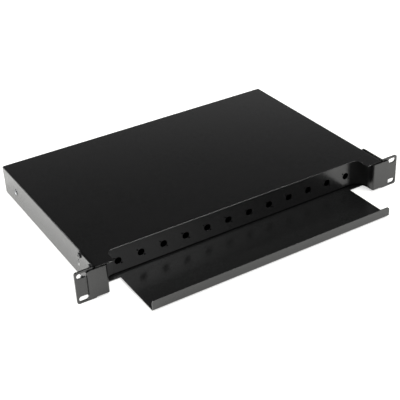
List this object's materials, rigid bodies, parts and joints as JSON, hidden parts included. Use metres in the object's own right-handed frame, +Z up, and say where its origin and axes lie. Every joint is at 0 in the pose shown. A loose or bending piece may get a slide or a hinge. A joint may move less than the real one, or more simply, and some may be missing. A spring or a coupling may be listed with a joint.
{
  "type": "rack-mount fibre distribution box",
  "caption": "Black one-unit rack box for optical fibre: recessed row of round adapter ports over a patch shelf, on a drawer that slides out of a folded hood with rack ears.",
  "frame": {"origin": "centre of the rack screw pattern, on the back face of the ears, where they rest on the rack rails", "axes": "+X right seen from the front, +Y into the rack, +Z up"},
  "size_m": [0.4826, 0.3708, 0.044],
  "materials": {
    "black_coat": "semi-gloss black powder coat",
    "black_screw": "black zinc",
    "zinc_steel": "bright zinc",
    "ball_steel": "polished",
    "black_nylon": "moulded nylon",
    "black_rubber": "matt",
    "white_plastic": "moulded ABS",
    "clear_plastic": "clear",
    "brass": "plain"
  },
  "bodies": {
    "housing": {"housing_shell": "black_coat", "ear_left": "black_coat", "ear_right": "black_coat", "ear_screws": "black_screw", "slide_screws": "black_screw", "slide_outer_left": "zinc_steel", "slide_outer_right": "zinc_steel", "gland_bodies": "black_nylon", "gland_washers": "black_rubber", "gland_seals": "black_rubber", "gland_locknuts": "black_nylon", "gland_cap_nuts": "black_nylon", "blanking_plugs": "black_nylon", "earth_stud": "brass", "earth_washer": "zinc_steel", "earth_nut": "brass"},
    "slide_middle_left": {"slide_middle_left": "zinc_steel"},
    "slide_middle_right": {"slide_middle_right": "zinc_steel"},
    "cage_outer_left": {"ball_cage_outer_left": "zinc_steel", "balls_outer_left": "ball_steel"},
    "cage_outer_right": {"ball_cage_outer_right": "zinc_steel", "balls_outer_right": "ball_steel"},
    "cage_inner_left": {"ball_cage_inner_left": "zinc_steel", "balls_inner_left": "ball_steel"},
    "cage_inner_right": {"ball_cage_inner_right": "zinc_steel", "balls_inner_right": "ball_steel"},
    "drawer": {"drawer_tray": "black_coat", "adapter_panel": "black_coat", "recess_end_left": "black_coat", "recess_end_right": "black_coat", "panel_brackets": "black_coat", "panel_rivets": "zinc_steel", "drawer_screws": "zinc_steel", "slide_inner_left": "zinc_steel", "slide_inner_right": "zinc_steel", "cassette_base": "white_plastic", "cassette_lid": "clear_plastic", "splice_holder": "white_plastic", "cassette_studs": "zinc_steel", "cassette_nuts": "black_nylon", "fibre_clips": "black_nylon", "cable_anchors": "zinc_steel", "anchor_screws": "zinc_steel"}
  },
  "joints": [
    {"name": "drawer_slide", "type": "slide", "parent": "housing", "child": "drawer", "axis": [0, -1, 0], "range_m": [0, 0.2]},
    {"name": "slide_middle_left_slide", "type": "slide", "parent": "housing", "child": "slide_middle_left", "axis": [0, -1, 0], "range_m": [0, 0.1]},
    {"name": "cage_outer_left_slide", "type": "slide", "parent": "housing", "child": "cage_outer_left", "axis": [0, -1, 0], "range_m": [0, 0.05]},
    {"name": "cage_inner_left_slide", "type": "slide", "parent": "slide_middle_left", "child": "cage_inner_left", "axis": [0, -1, 0], "range_m": [0, 0.05]},
    {"name": "slide_middle_right_slide", "type": "slide", "parent": "housing", "child": "slide_middle_right", "axis": [0, -1, 0], "range_m": [0, 0.1]},
    {"name": "cage_outer_right_slide", "type": "slide", "parent": "housing", "child": "cage_outer_right", "axis": [0, -1, 0], "range_m": [0, 0.05]},
    {"name": "cage_inner_right_slide", "type": "slide", "parent": "slide_middle_right", "child": "cage_inner_right", "axis": [0, -1, 0], "range_m": [0, 0.05]}
  ],
  "couplings": [
    {"joint": "slide_middle_left_slide", "follows": "drawer_slide", "ratio": 0.5},
    {"joint": "cage_outer_left_slide", "follows": "drawer_slide", "ratio": 0.25},
    {"joint": "cage_inner_left_slide", "follows": "drawer_slide", "ratio": 0.25},
    {"joint": "slide_middle_right_slide", "follows": "drawer_slide", "ratio": 0.5},
    {"joint": "cage_outer_right_slide", "follows": "drawer_slide", "ratio": 0.25},
    {"joint": "cage_inner_right_slide", "follows": "drawer_slide", "ratio": 0.25}
  ]
}
